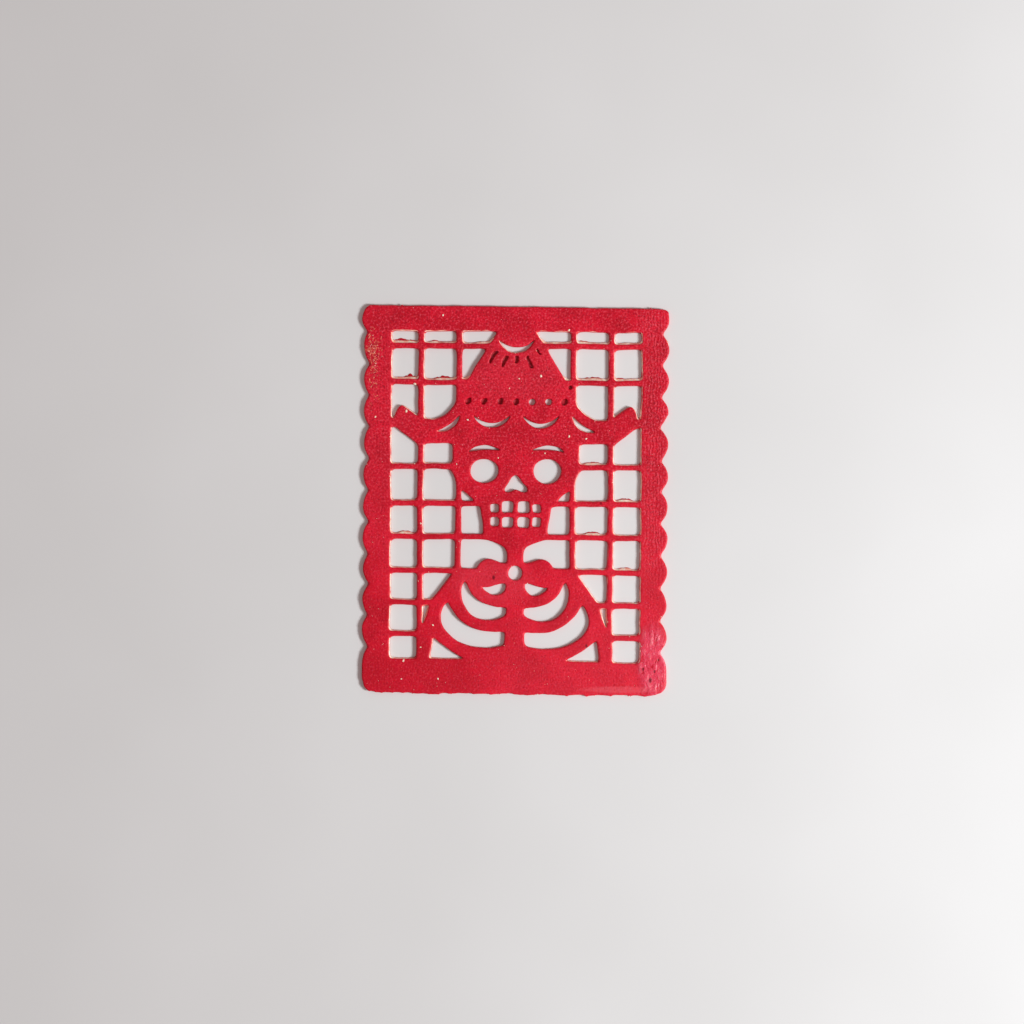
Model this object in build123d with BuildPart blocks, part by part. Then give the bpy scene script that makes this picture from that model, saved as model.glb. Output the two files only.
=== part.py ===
from build123d import *
import os

# A moulded papel picado sheet, one piece, lying flat with its face up.
# X runs across the figure, Y from its foot to its hat, Z up from the back of the sheet.
# The origin is on the back face, at the middle of the sheet. All sizes are in millimetres.

# ---- the sheet ----
sheet_width = 66.0            # over the tips of the side scallops
sheet_height = 84.0
sheet_thickness = 1.0
face_edge_radius = 0.15       # soft edge around the face and every opening in it
head_corner_radius = 1.2
foot_corner_radius = 2.3

# ---- scalloped sides ----
scallop_depth = 1.4
scallop_count = 10            # even lobes, between a longer one at the head and one at the foot
head_lobe = 5.6
foot_lobe = 9.8
notch_radius = 0.3

# ---- solid border around the pattern ----
side_border = 5.85            # measured from the tips of the scallops
head_border = 5.25
foot_border = 7.4

# ---- openings ----
bar_width = 1.05              # upright and level bars of the lattice
cell_corner = 0.5
figure_corner = 0.25          # openings that the figure cuts into
tooth_corner = 0.4
eye_width = 6.2
eye_height = 5.5
collar_dot_diameter = 3.2

# ---- hat trim ----
band_dot_diameter = 1.4
band_dot_pitch = 3.46
band_dot_count = 7
open_dots = [4, 5]            # counted from the left, the others keep a skin
slit_width = 0.55
pit_diameter = 0.9
skin = 0.25                   # floor left under the filled dots, the slits and the pit

# ---- the drawn pattern ----
# Its points are drawn in a field of this size. at() places them in the sheet's own field.
drawn_half_width = 26.95
drawn_head = 36.5
drawn_foot = -34.3
upright_bars = [12.25, 20.45]             # centre lines on one side of the figure
hat_top_bar = 33.35                       # centre lines of the level bars
hat_side_bar = 25.5
temple_bar = 7.4
cheek_bar = -0.55
jaw_bar = -7.75
shoulder_bar = -15.1
arm_bar = -22.05
waist_bar = -29.0

half_width = sheet_width / 2
half_height = sheet_height / 2
notch_x = half_width - scallop_depth
scallop_pitch = (sheet_height - head_lobe - foot_lobe) / scallop_count
field_half_width = half_width - side_border
field_head = half_height - head_border
field_foot = foot_border - half_height
across = field_half_width / drawn_half_width
along = (field_head - field_foot) / (drawn_head - drawn_foot)
half_bar_x = bar_width / 2 / across       # half a bar, in drawn sizes
half_bar_y = bar_width / 2 / along

# Upright edges of the openings, in the drawn field
beside_figure = upright_bars[0] - half_bar_x
middle_from = upright_bars[0] + half_bar_x
middle_to = upright_bars[1] - half_bar_x
outer_from = upright_bars[1] + half_bar_x
outer_to = drawn_half_width


def at(x, y):
    """A point of the drawn pattern, placed in the sheet's field."""
    return (x * across, field_foot + (y - drawn_foot) * along)


def over(bar):
    """Upper edge of a level bar, where the opening above it ends."""
    return bar + half_bar_y


def under(bar):
    """Lower edge of a level bar, where the opening below it starts."""
    return bar - half_bar_y


def cell(left, right, foot, head, corner=cell_corner):
    """One plain opening with round corners."""
    low = at(left, foot)
    high = at(right, head)
    with Locations(((low[0] + high[0]) / 2, (low[1] + high[1]) / 2)):
        RectangleRounded(high[0] - low[0], high[1] - low[1], corner)


def opening(start, *sides, corner=figure_corner):
    """One shaped opening. Each side starts where the last one ended, and the last ends on start.
    A side of one point is straight, of two is an arc through the first, of more is a curve."""
    with BuildSketch(Plane.XY, mode=Mode.PRIVATE) as shape:
        with BuildLine():
            here = start
            for side in sides:
                run = [at(*point) for point in [here, *side]]
                if len(run) == 2:
                    Line(*run)
                elif len(run) == 3:
                    ThreePointArc(*run)
                else:
                    Spline(*run)
                here = side[-1]
        make_face()
        if corner:
            fillet(shape.vertices(), corner)
    add(shape.sketch)


def slit(head, foot):
    """A fine straight slit between two points, with round ends."""
    middle = at((head[0] + foot[0]) / 2, (head[1] + foot[1]) / 2)
    SlotCenterPoint(middle, at(*head), slit_width)


with BuildPart() as papel_picado_sheet:
    # Scalloped outline, drawn up the right side and mirrored
    with BuildSketch() as outline:
        with BuildLine() as edge:
            notches = [half_height - head_lobe - scallop_pitch * n for n in range(scallop_count + 1)]
            Line((0, half_height), (notch_x, half_height))
            ThreePointArc(
                (notch_x, half_height),
                (half_width, half_height - head_lobe / 2),
                (notch_x, notches[0]),
            )
            for head, foot in zip(notches, notches[1:]):
                ThreePointArc((notch_x, head), (half_width, (head + foot) / 2), (notch_x, foot))
            foot_lobe_from = notches[-1] - scallop_pitch / 2
            ThreePointArc(
                (notch_x, notches[-1]),
                (half_width - scallop_depth / 4, notches[-1] - scallop_pitch / 4),
                (half_width, foot_lobe_from),
            )
            Polyline((half_width, foot_lobe_from), (half_width, -half_height), (0, -half_height))
            mirror(about=Plane.YZ)
        make_face()
        corners = outline.vertices()
        fillet([v for v in corners if abs(v.Y - half_height) < 0.01 and abs(v.X) > 1], head_corner_radius)
        fillet(
            [v for v in outline.vertices() if abs(v.Y + half_height) < 0.01 and abs(v.X) > 1],
            foot_corner_radius,
        )
        fillet(
            [v for v in outline.vertices() if abs(abs(v.X) - notch_x) < 0.01 and abs(v.Y) < half_height - 2],
            notch_radius,
        )
    extrude(amount=sheet_thickness)

    # Openings that go right through, cut from the face
    with BuildSketch(Plane.XY.offset(sheet_thickness)) as openings:
        # Plain openings of the lattice
        cell(outer_from, outer_to, over(hat_top_bar), drawn_head)
        cell(middle_from, middle_to, over(hat_top_bar), drawn_head)
        cell(outer_from, outer_to, over(hat_side_bar), under(hat_top_bar))
        cell(middle_from, middle_to, over(hat_side_bar), under(hat_top_bar))
        outer_bars = [temple_bar, cheek_bar, jaw_bar, shoulder_bar, arm_bar, waist_bar]
        for head_bar, foot_bar in zip(outer_bars, outer_bars[1:]):
            cell(outer_from, outer_to, over(foot_bar), under(head_bar))
        cell(outer_from, outer_to, drawn_foot, under(waist_bar))
        cell(middle_from, middle_to, over(jaw_bar), under(cheek_bar))
        cell(middle_from, middle_to, over(shoulder_bar), under(jaw_bar))
        cell(13.5, middle_to, over(temple_bar), 12.4)

        # Beside the crown of the hat
        opening(
            (4.0, drawn_head),
            [(beside_figure, drawn_head)],
            [(beside_figure, over(hat_top_bar))],
            [(5.8, over(hat_top_bar))],
            [(4.0, drawn_head)],
        )
        opening(
            (6.5, under(hat_top_bar)),
            [(beside_figure, under(hat_top_bar))],
            [(beside_figure, over(hat_side_bar))],
            [(10.5, over(hat_side_bar))],
            [(8.2, 29.8), (6.5, under(hat_top_bar))],
        )

        # Above the brim and on both sides of its upturned tip
        opening(
            (middle_from, under(hat_side_bar)),
            [(middle_to, under(hat_side_bar))],
            [(middle_to, 17.5)],
            [(17.6, 17.4)],
            [(16.0, 17.9), (14.6, 18.9), (13.4, 20.2), (middle_from, 21.6)],
            [(middle_from, under(hat_side_bar))],
            corner=0.2,
        )
        opening(
            (outer_from, under(hat_side_bar)),
            [(outer_to, under(hat_side_bar))],
            [(outer_to, 17.7)],
            [(26.0, 17.7)],
            [(25.6, 19.4), (24.6, 20.6)],
            [(outer_from, 17.9)],
            [(outer_from, under(hat_side_bar))],
        )
        opening(
            (outer_from, over(temple_bar)),
            [(outer_to, over(temple_bar))],
            [(outer_to, 16.2)],
            [(25.8, 15.8)],
            [(24.2, 14.5), (22.4, 13.2), (outer_from, 12.0)],
            [(outer_from, over(temple_bar))],
        )

        # Beside the skull
        opening(
            (middle_to, under(temple_bar)),
            [(middle_to, over(cheek_bar))],
            [(12.8, over(cheek_bar))],
            [(12.65, 2.0), (12.75, 3.8), (13.2, 5.4), (14.0, under(temple_bar))],
            [(middle_to, under(temple_bar))],
        )
        opening(
            (8.8, over(cheek_bar)),
            [(beside_figure, over(cheek_bar))],
            [(beside_figure, 2.4)],
            [(10.2, 1.4), (8.8, over(cheek_bar))],
            corner=0.15,
        )
        opening(
            (beside_figure, under(cheek_bar)),
            [(beside_figure, over(jaw_bar))],
            [(6.75, over(jaw_bar))],
            [(7.2, -4.0), (7.6, under(cheek_bar))],
            [(beside_figure, under(cheek_bar))],
        )

        # Beside the neck, down to the shoulder
        opening(
            (beside_figure, under(jaw_bar)),
            [(6.3, under(jaw_bar))],
            [(4.9, -8.7), (3.3, -9.4), (2.1, -10.2), (1.7, -11.4), (1.75, -13.4)],
            [(2.6, -13.4), (4.2, -12.9), (5.8, -12.5), (7.1, -13.0), (8.0, over(shoulder_bar))],
            [(beside_figure, over(shoulder_bar))],
            [(beside_figure, under(jaw_bar))],
        )

        # Outside the upper arm, and the sliver inside the lower arm
        opening(
            (13.2, under(shoulder_bar)),
            [(middle_to, under(shoulder_bar))],
            [(middle_to, over(arm_bar))],
            [(17.7, over(arm_bar))],
            [(13.2, under(shoulder_bar))],
        )
        opening(
            (18.4, under(arm_bar)),
            [(middle_to, under(arm_bar))],
            [(middle_to, -27.2)],
            [(18.9, -25.0), (18.4, under(arm_bar))],
            corner=0.1,
        )

        # Chest, two ribs, and the hip below them
        opening(
            (1.9, -17.7),
            [(3.4, -17.8), (5.0, -18.35), (7.4, -18.2)],
            [(6.2, -19.6), (4.5, -20.3), (2.9, -19.9), (1.9, -17.7)],
            corner=0.15,
        )
        opening(
            (1.8, -22.85),
            [(3.8, -22.75), (6.4, -22.1), (9.0, -20.4), (10.1, -18.4), (10.7, -17.0)],
            [(11.7, -19.8), (11.2, -22.3), (9.6, -24.6), (7.5, -25.6), (5.3, -25.8), (1.8, -24.5)],
            [(1.8, -22.85)],
        )
        opening(
            (1.95, -28.15),
            [(4.8, -28.2), (8.0, -27.8), (10.9, -26.4), (13.2, -24.1), (14.4, -21.9)],
            [(15.9, -24.2), (15.8, -26.8), (13.9, -29.3), (10.8, -31.1), (7.6, -31.7), (4.4, -31.6)],
            [(2.2, -31.1)],
            [(1.95, -28.15)],
        )
        opening(
            (17.6, -29.4),
            [(18.35, -34.15)],
            [(10.6, -34.1)],
            [(12.7, -33.0), (15.2, -31.4), (17.6, -29.4)],
            corner=0.12,
        )

        # Face: eye, brow and teeth
        with Locations(at(6.75, 6.45)):
            Ellipse(eye_width / 2, eye_height / 2)
        opening(
            (10.6, 10.4),
            [(9.2, 11.6), (7.0, 12.1), (4.8, 11.6), (3.0, 10.9)],
            [(5.0, 10.95), (7.0, 11.1), (9.0, 10.9), (10.6, 10.4)],
            corner=0.1,
        )
        cell(0.4, 2.95, -2.6, 0.05, tooth_corner)
        cell(3.5, 5.4, -2.5, -0.5, tooth_corner)
        cell(0.4, 2.95, -5.85, -3.45, tooth_corner)
        cell(3.5, 5.5, -5.5, -3.4, tooth_corner)

        # Hat: the scroll on the band and the slit where the brim turns up
        opening(
            (1.05, 19.0),
            [(5.25, 16.65), (9.45, 19.0)],
            [(5.25, 15.65), (1.05, 19.0)],
            corner=0.12,
        )
        opening(
            (11.9, 18.7),
            [(14.0, 16.7), (17.3, 15.0)],
            [(13.2, 15.9), (11.9, 18.7)],
            corner=0.1,
        )
        mirror(about=Plane.YZ)

        # On the centre line: the crest of the hat, the nose and the collar dot
        opening(
            (-4.1, 35.1),
            [(0, 33.15), (4.1, 35.1)],
            [(0, 31.85), (-4.1, 35.1)],
            corner=0.12,
        )
        opening(
            (0, 2.6),
            [(0.8, 2.1), (1.7, 1.8), (2.6, 2.3)],
            [(1.9, 4.1), (0.9, 5.3), (0, 5.7)],
            [(-0.9, 5.3), (-1.9, 4.1), (-2.6, 2.3)],
            [(-1.7, 1.8), (-0.8, 2.1), (0, 2.6)],
        )
        with Locations(at(0, -15.5)):
            Circle(collar_dot_diameter / 2)
    extrude(amount=-sheet_thickness, mode=Mode.SUBTRACT)

    # Dots of the hat band, in a row centred on the figure
    first_dot = -(band_dot_count - 1) / 2 * band_dot_pitch
    dot_places = [(first_dot + band_dot_pitch * n, at(0, 21.4)[1]) for n in range(band_dot_count)]
    with BuildSketch(Plane.XY.offset(sheet_thickness)):
        with Locations([dot_places[n] for n in open_dots]):
            Circle(band_dot_diameter / 2)
    extrude(amount=-sheet_thickness, mode=Mode.SUBTRACT)

    # Filled dots, the fan of slits on the crown and one stray pit, all with a skin under them
    with BuildSketch(Plane.XY.offset(sheet_thickness)):
        with Locations([place for n, place in enumerate(dot_places) if n not in open_dots]):
            Circle(band_dot_diameter / 2)
        slit((0, 31.1), (0, 29.9))
        for side in (-1, 1):
            slit((2.4 * side, 31.1), (3.0 * side, 29.0))
            slit((4.8 * side, 32.0), (5.7 * side, 29.9))
        with Locations(at(11.6, 24.5)):
            Circle(pit_diameter / 2)
    extrude(amount=skin - sheet_thickness, mode=Mode.SUBTRACT)

    # The face meets every wall in a soft edge
    face = papel_picado_sheet.faces().sort_by(Axis.Z)[-1]
    fillet(face.edges(), face_edge_radius)

papel_picado_sheet.part.label = "papel_picado_sheet"
os.makedirs("parts", exist_ok=True)
export_step(papel_picado_sheet.part, "parts/papel_picado_sheet.step")
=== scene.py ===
import math

import bmesh
import bpy
import numpy as np
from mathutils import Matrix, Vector, kdtree, noise
from mathutils.geometry import delaunay_2d_cdt


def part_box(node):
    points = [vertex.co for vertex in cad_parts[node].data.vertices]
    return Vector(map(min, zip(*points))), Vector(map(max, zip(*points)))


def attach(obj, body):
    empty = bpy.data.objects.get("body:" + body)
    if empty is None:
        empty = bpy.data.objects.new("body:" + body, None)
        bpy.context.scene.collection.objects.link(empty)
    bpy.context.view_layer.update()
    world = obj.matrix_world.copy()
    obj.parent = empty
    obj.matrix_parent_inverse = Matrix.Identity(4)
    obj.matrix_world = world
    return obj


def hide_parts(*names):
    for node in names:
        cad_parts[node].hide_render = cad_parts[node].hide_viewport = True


MM = 0.001

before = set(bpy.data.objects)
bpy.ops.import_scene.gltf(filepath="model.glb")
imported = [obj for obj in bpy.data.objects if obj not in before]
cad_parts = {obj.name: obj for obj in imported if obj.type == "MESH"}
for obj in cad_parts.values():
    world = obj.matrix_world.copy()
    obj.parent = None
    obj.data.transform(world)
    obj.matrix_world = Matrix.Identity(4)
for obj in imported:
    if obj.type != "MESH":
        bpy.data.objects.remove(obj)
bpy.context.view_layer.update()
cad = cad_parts["papel_picado_sheet"]
cad_low, cad_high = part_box("papel_picado_sheet")

# ---- how the sheet is moulded, in millimetres ----
THICKNESS = (cad_high.z - cad_low.z) / MM
HALF_WIDTH = cad_high.x / MM
HALF_HEIGHT = cad_high.y / MM
EDGE_STEP = 0.29        # spacing of points along every edge
FACE_STEP = 0.46        # spacing of points on the face
BACK_STEP = 1.6         # spacing of points on the back
SHORT_OUTLINE = 24      # an outline with no more points than this is a small opening
WIDEST_ROOM = 2.0       # how far the room beside an edge is looked for
LIP = 0.38              # width of the soft lip around every opening
DRAFT = 0.16            # how far a wall leans out towards the back
LEAN = 0.06             # how much more it leans on the side the lace sagged towards
SAG = np.array([0.2, 0.98])         # the way the wet lace sagged
PAINTED_LIGHT_FROM = np.array([0.77, 0.64])     # the way the light is taken to come from, for the painted highlight on walls facing it

# The section of an edge, from the face down: place across, height as a share, the same where the
# wall sags into a sill, how pale the wall is there, and how pale a thin lip is there; the pale wall
# is mostly painted highlight and the pale lip painted glow. Places below 0 are shares of the lip,
# places above 0 are shares of the draft.
WALL_SECTION = [
    (-1.0, 1.0, 1.0, 0.0, 0.0),
    (-0.66, 0.988, 0.988, 0.0, 0.0),
    (-0.40, 0.955, 0.955, 0.0, 0.25),
    (-0.14, 0.885, 0.87, 0.1, 1.0),
    (0.12, 0.76, 0.62, 0.9, 0.7),
    (0.50, 0.45, 0.46, 1.0, 0.1),
    (0.90, 0.17, 0.37, 0.8, 0.0),
]
# The section of a blind dot or slit: place across, height as a share, and how much painted shade darkens it
# there.
DIMPLE_SECTION = [
    (-0.7, 1.0, 0.0),
    (-0.35, 0.975, 0.0),
    (-0.08, 0.90, 0.1),
    (0.25, 0.66, 0.6),
    (0.6, 0.42, 1.0),
]

# Small teeth torn along the foot: place, half-width and how far they stand out.
TEETH = [
    (-28.6, 0.5, 0.35), (-26.4, 0.4, 0.45), (-24.2, 0.5, 0.30), (-22.0, 0.5, 0.50), (-16.3, 0.4, 0.30),
    (-5.2, 0.5, 0.25), (2.6, 0.4, 0.25), (11.5, 0.4, 0.40), (15.6, 0.4, 0.75), (21.0, 0.6, 0.40),
    (28.4, 0.5, 0.35),
]
# Where the foot stands out or back: from, to and how far it moves.
FOOT_STEPS = [
    (-31.5, -21.5, 0.42), (-21.5, -12.6, 0.14), (-12.6, -9.0, 0.38), (-9.0, 0.0, 0.18), (3.5, 10.5, 0.08),
]
# Waver of the foot: how long each wave is, how far it goes and where its noise is read.
FOOT_WAVER = [(3.4, 0.20, 5.5), (1.2, 0.26, 8.2), (0.65, 0.16, 4.9)]
# Waver of every outline: how long each wave is, how far it goes, and where its noise along X and
# along Y is read.
WAVER = [(7.5, 0.17, 3.1, 21.7), (2.3, 0.11, 9.4, 14.2), (0.9, 0.08, 2.8, 7.1)]
EDGE_ZONE = 1.2             # points this near the head or the foot belong to its edge
HEAD_TILT = 0.006           # how far the head edge falls per millimetre to the right
LOW_ROWS_TILT = 0.014       # the same for the rows near the foot
LOW_ROWS = (-12.0, -24.0)   # Y where that tilt begins and where it is whole
FOOT_ROWS = (-41.5, -36.5)  # Y where it has faded out again and where it is still whole
DEEPER_SCALLOPS = 0.32      # how much deeper the scallops of the right side are, as a share
CHIP = (15.8, 18.5, 0.45)   # the chipped scallop on the right side: from, to and how deep
DRAWN_IN = (9.0, 0.38)      # the top scallops on the left side: how far down, and how far drawn in
NOSE = (-0.4, 1.6, 6.4)     # the nose: X of its middle, foot and top
NOSE_PINCH = 0.28           # how much narrower the nose is than in the pattern, as a share
CORNER_REACH = 2.6          # how far from a corner its round differs from the pattern's
LEFT_FOOT_CUT = 0.08        # how much further the round cuts off each corner
RIGHT_FOOT_CUT = 0.035
HEAD_SQUARENESS = 0.65


# ---------------------------------------------------------------- outlines

def cad_outlines(height):
    """Closed outlines, in millimetres, around the flat faces at this height of the CAD sheet.
    Each runs with the sheet's material on its left."""
    bm = bmesh.new()
    bm.from_mesh(cad.data)
    bmesh.ops.remove_doubles(bm, verts=bm.verts, dist=2e-6)
    bm.normal_update()
    faces = [
        f for f in bm.faces
        if abs(f.normal.z) > 0.999 and all(abs(v.co.z - height * MM) < 4e-6 for v in f.verts)
    ]
    flat = set(faces)
    following = {}
    for face in faces:
        for corner in face.loops:
            if sum(other in flat for other in corner.edge.link_faces) == 1:
                following[corner.vert] = corner.link_loop_next.vert
    outlines = []
    while following:
        start, vert = following.popitem()
        run = [start, vert]
        while vert in following:
            vert = following.pop(vert)
            run.append(vert)
        if run[-1] == start:
            run.pop()
        if len(run) > 5:
            points = np.array([(v.co.x, v.co.y) for v in run]) / MM
            outlines.append(points[::-1])
    bm.free()
    return outlines


def signed_area(points):
    x, y = points[:, 0], points[:, 1]
    return 0.5 * float(np.sum(x * np.roll(y, -1) - np.roll(x, -1) * y))


def evenly(points, step):
    """The closed outline again, with evenly spaced points."""
    closed = np.vstack([points, points[:1]])
    along = np.concatenate([[0], np.cumsum(np.linalg.norm(np.diff(closed, axis=0), axis=1))])
    count = max(14, round(along[-1] / step))
    at = np.arange(count) * along[-1] / count
    return np.stack([np.interp(at, along, closed[:, k]) for k in range(2)], axis=1)


def softened(points, rounds):
    for _ in range(rounds):
        points = 0.5 * points + 0.25 * (np.roll(points, 1, axis=0) + np.roll(points, -1, axis=0))
    return points


def ramp(value, none, whole):
    """0 where the value is at none, 1 where it is at whole, straight between them and level beyond."""
    return min(1.0, max(0.0, (value - none) / (whole - none)))


def flow(x, y, size, shift):
    """Smooth noise from -1 to 1 that changes over about this many millimetres."""
    return noise.noise(Vector((x / size + shift, y / size - shift, shift * 1.7)))


def foot_shift(x):
    """How far the rough foot edge moves along Y here."""
    shift = 0.05
    for size, far, place in FOOT_WAVER:
        shift += far * flow(x, 0, size, place)
    for low, high, step in FOOT_STEPS:
        if low < x < high:
            shift += step
    for place, half, depth in TEETH:
        shift -= depth * max(0.0, 1.0 - abs(x - place) / half)
    return shift


def corner_shift(x, y):
    """How the sheet's corners differ from even rounds: cut further at the foot, squarer at the head."""
    beyond_x = abs(x) - HALF_WIDTH + CORNER_REACH
    beyond_y = abs(y) - HALF_HEIGHT + CORNER_REACH
    if beyond_x <= 0 or beyond_y <= 0 or (y > 0 and x < 0):
        return (0.0, 0.0)
    if y < 0:
        amount = (RIGHT_FOOT_CUT if x > 0 else LEFT_FOOT_CUT) * (beyond_x + beyond_y)
        return (-math.copysign(amount, x), amount)
    weight = HEAD_SQUARENESS * min(1.0, beyond_x / 1.2, beyond_y / 1.2)
    return (weight * (HALF_WIDTH - x), weight * (HALF_HEIGHT - 0.2 - y))


def hand_made(points):
    """The outline with the slight waver of a sheet that was spread and peeled by hand."""
    moved = points.copy()
    nose_x, nose_foot, nose_top = NOSE
    chip_foot, chip_top, chip_depth = CHIP
    drawn_height, drawn_depth = DRAWN_IN
    for i, (x, y) in enumerate(points):
        moved[i, 0] += sum(far * flow(x, y, size, place) for size, far, place, _ in WAVER)
        moved[i, 1] += sum(far * flow(x, y, size, place) for size, far, _, place in WAVER)
        moved[i, 1] -= LOW_ROWS_TILT * x * ramp(y, *LOW_ROWS) * ramp(y, *FOOT_ROWS)
        if y < -HALF_HEIGHT + EDGE_ZONE:
            moved[i, 1] += foot_shift(x)
        if y > HALF_HEIGHT - EDGE_ZONE:
            moved[i, 1] -= HEAD_TILT * x
        if x > HALF_WIDTH - 1.7:
            moved[i, 0] -= DEEPER_SCALLOPS * (HALF_WIDTH - x)
        if x > HALF_WIDTH - 2.2 and chip_foot < y < chip_top:
            moved[i, 0] -= chip_depth
        if x < -HALF_WIDTH + 2.4 and y > HALF_HEIGHT - drawn_height:
            moved[i, 0] -= drawn_depth * min(1.0, (y - HALF_HEIGHT + drawn_height) / 2.0)
        if abs(x - nose_x) < 2.6 and nose_foot < y < nose_top:
            moved[i, 0] -= NOSE_PINCH * (x - nose_x) * ramp(y, nose_foot + 1.0, nose_foot + 2.4)
        moved[i] += corner_shift(x, y)
    return moved


def away_from_material(points):
    """Unit vectors across the outline, pointing into the opening or off the sheet."""
    run = softened(points, 1)
    along = np.roll(run, -1, axis=0) - np.roll(run, 1, axis=0)
    along /= np.maximum(np.linalg.norm(along, axis=1, keepdims=True), 1e-9)
    return np.stack([along[:, 1], -along[:, 0]], axis=1)


def room_beside(outlines, directions, side):
    """For each outline, the radius of the widest circle that touches it at each point on that side."""
    every = np.vstack(outlines)
    found = []
    for points, away in zip(outlines, directions):
        radii = np.empty(len(points))
        for i in range(len(points)):
            offset = every - points[i]
            depth = offset @ (away[i] * side)
            reach = (offset * offset).sum(1)
            near = (depth > 0.02) & (reach < WIDEST_ROOM ** 2)
            radii[i] = np.min(reach[near] / (2 * depth[near])) if near.any() else WIDEST_ROOM
        found.append(radii)
    return found


def crosses_itself(points):
    """True if any two sides of the closed outline cross."""
    ends = np.roll(points, -1, axis=0)
    side = ends - points

    def turn(towards):
        offset = towards[None, :, :] - points[:, None, :]
        return side[:, None, 0] * offset[:, :, 1] - side[:, None, 1] * offset[:, :, 0] > 0

    splits = turn(points) != turn(ends)
    count = len(points)
    number = np.arange(count)
    apart = (number[:, None] - number[None, :]) % count
    splits[(apart <= 1) | (apart == count - 1)] = False
    return bool(np.any(splits & splits.T))


def moved_over(points, shift):
    """The outline moved by the shift, or by less of it where the whole shift would make it cross itself."""
    for share in (1.0, 0.8, 0.6, 0.4, 0.2, 0.1):
        moved = points + shift * share
        if not crosses_itself(moved):
            return moved
    return points


def eased(limits, most):
    """Widths no larger than the room allows, changing smoothly along the outline."""
    width = np.minimum(most, 0.78 * limits)
    width = np.minimum(width, np.minimum(np.roll(width, 1), np.roll(width, -1)))
    for _ in range(3):
        calm = (width + np.roll(width, 1) + np.roll(width, -1)) / 3
        width = np.minimum(calm, 0.85 * limits)
    return width


def inside(points, outline):
    """Which points lie inside a closed outline."""
    x, y = points[:, 0], points[:, 1]
    low, high = outline.min(0), outline.max(0)
    within = (x >= low[0]) & (x <= high[0]) & (y >= low[1]) & (y <= high[1])
    found = np.zeros(len(points), bool)
    picked = np.where(within)[0]
    if not len(picked):
        return found
    px, py = x[picked], y[picked]
    odd = np.zeros(len(picked), bool)
    for (x0, y0), (x1, y1) in zip(outline, np.roll(outline, -1, axis=0)):
        if y0 != y1:
            crosses = ((y0 > py) != (y1 > py)) & (px < (x1 - x0) * (py - y0) / (y1 - y0) + x0)
            odd ^= crosses
    found[picked] = odd
    return found


def on_material(points, outlines):
    """Which points lie in the sheet: inside its edge and in no opening."""
    keep = np.zeros(len(points), bool)
    for outline in outlines:
        keep ^= inside(points, outline)
    return keep


# ---------------------------------------------------------------- the moulded sheet

WRINKLED = (29.2, -35.6, 4.6)       # a smeared patch near the foot: x, y and how far it reaches
# The swell of the face: how long each wave is, how far it goes and where its noise is read.
SWELL = [(11.0, 0.060, 2.2), (4.1, 0.040, 7.7), (1.7, 0.020, 4.4)]
FACE_DROP = 0.062                   # how far the middle of the swell lies below the CAD's face

def face_level(x, y):
    """Height of the face, in millimetres, with the swell of a sheet poured and levelled by hand."""
    swell = sum(far * flow(x, y, size, place) for size, far, place in SWELL)
    patch = 1.0 - math.hypot(x - WRINKLED[0], y - WRINKLED[1]) / WRINKLED[2]
    if patch > 0:
        ridge = 1.0 - abs(flow(x + 0.8 * y, 0.35 * (y - x), 1.5, 6.6)) * 2.4
        swell += min(1.0, 2.0 * patch) * (0.10 * max(0.0, ridge) - 0.09)
    return THICKNESS - FACE_DROP + swell


# Where a ragged film of lace closes the back of an opening a little, along the wall nearest the
# foot: place, how far round, how wide.
FILMS = [
    (-24.6, 34.2, 4.2, 0.55),
    (-22.6, 26.2, 2.2, 0.95),
    (-16.0, 26.2, 2.0, 0.80),
    (-17.8, 34.4, 1.4, 0.25),
    (13.6, 34.4, 2.6, 0.30),
    (16.5, 26.2, 2.4, 0.32),
    (22.2, 26.2, 1.6, 0.30),
    (23.6, -0.05, 2.2, 0.35),
    (16.6, 8.0, 2.4, 0.30),
    (16.8, -7.2, 2.2, 0.30),
    (23.8, -14.5, 2.0, 0.30),
    (-23.8, -7.2, 2.0, 0.20),
]
FILM_FADE = 2.2                 # how steeply a film thins out towards its ends
THIN_SILL = 0.32                # how much further the wall leans out beside a film
SILL_ROWS = (34.4, 26.3)        # Y of the walls that sagged into sills
# The film's section, from the wall to the torn edge: how far across, and height.
FILM_SECTION = [(0.0, 0.10), (0.6, 0.075), (1.0, 0.04), (1.0, 0.0)]
# The floor of a blind dot or slit, towards its middle: size as a share, and height.
DIMPLE_FLOOR = [(0.66, 0.33), (0.33, 0.30)]
DIMPLE_DEEPEST = 0.29
# The two narrow openings beside the ribs: how far their middle is from the sheet's, half their
# width, foot and top, then how much further their walls lean, and how much painted glow makes them pale.
SLIVER_X, SLIVER_HALF_WIDTH = 19.7, 1.9
SLIVER_FOOT, SLIVER_TOP = -28.5, -20.3
SLIVER_LEAN, SLIVER_GLOW = 0.25, 0.48
OUTER_AREA = 1000.0             # square millimetres, more than any opening has
FIGURE_HALF_WIDTH, FIGURE_TOP = 14.0, 31.0
INNER_BORDER_X = 26.9           # how far the inner edges of the side borders are from the middle
SMUDGE_ALONG = np.array([0.62, 0.78])       # the way the round dots were drawn out
SMUDGE_ACROSS = np.array([0.78, -0.62])


def film_share(x, y):
    """How much of a film there is here, from 0 to 1, and how wide it is at most."""
    share, width = 0.0, 0.0
    for film_x, film_y, reach, widest in FILMS:
        near = min(1.0, FILM_FADE * (1.0 - math.hypot(x - film_x, y - film_y) / reach))
        if near > share:
            share, width = near, widest
    return share, width


def sill_share(x, y):
    """How far a wall facing the head sags out into a sill, from 0 to 1: mostly in the top rows.
    The same share makes the sill pale, as painted glow of light through thin lace.
    """
    share = 0.0
    if any(abs(y - row) < 0.9 for row in SILL_ROWS):
        share = min(1.0, max(0.1, 0.70 + 1.2 * flow(x, y, 3.2, 3.6)))
    return max(share, min(1.0, film_share(x, y)[0]))


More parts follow.
